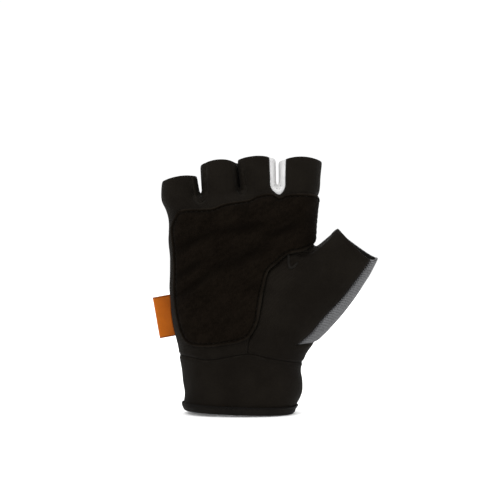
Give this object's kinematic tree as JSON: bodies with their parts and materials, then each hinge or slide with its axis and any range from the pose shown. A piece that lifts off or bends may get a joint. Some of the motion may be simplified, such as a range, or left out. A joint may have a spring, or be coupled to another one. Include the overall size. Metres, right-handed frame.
{
  "type": "half-finger fitness glove",
  "caption": "Right-hand half-finger fitness glove in black stretch cloth with a suede palm pad, grey knit back, finger gussets, wrist band and side label, kept in its worn form.",
  "frame": {"origin": "middle of the wrist opening, at the level of the hem", "axes": "+Z towards the finger tips, the palm faces -Y, the thumb is on the +X side"},
  "size_m": [0.1215, 0.0402, 0.1382],
  "materials": {
    "black_cloth": "smooth stretch cloth, faint sheen",
    "grey_mesh": "fine ribbed heather knit",
    "pale_cloth": "matt knit",
    "edge_binding": "folded stretch tape",
    "suede": "matt brushed suede",
    "woven_label": "woven satin ribbon"
  },
  "bodies": {
    "root": {"palm_panel": "black_cloth", "back_panel": "grey_mesh", "thumb_front": "black_cloth", "thumb_back": "grey_mesh", "gusset_index_middle": "pale_cloth", "gusset_middle_ring": "black_cloth", "gusset_ring_little": "black_cloth", "wrist_band": "black_cloth", "cuff_binding": "edge_binding", "palm_pad": "suede", "side_label": "woven_label"}
  },
  "joints": []
}
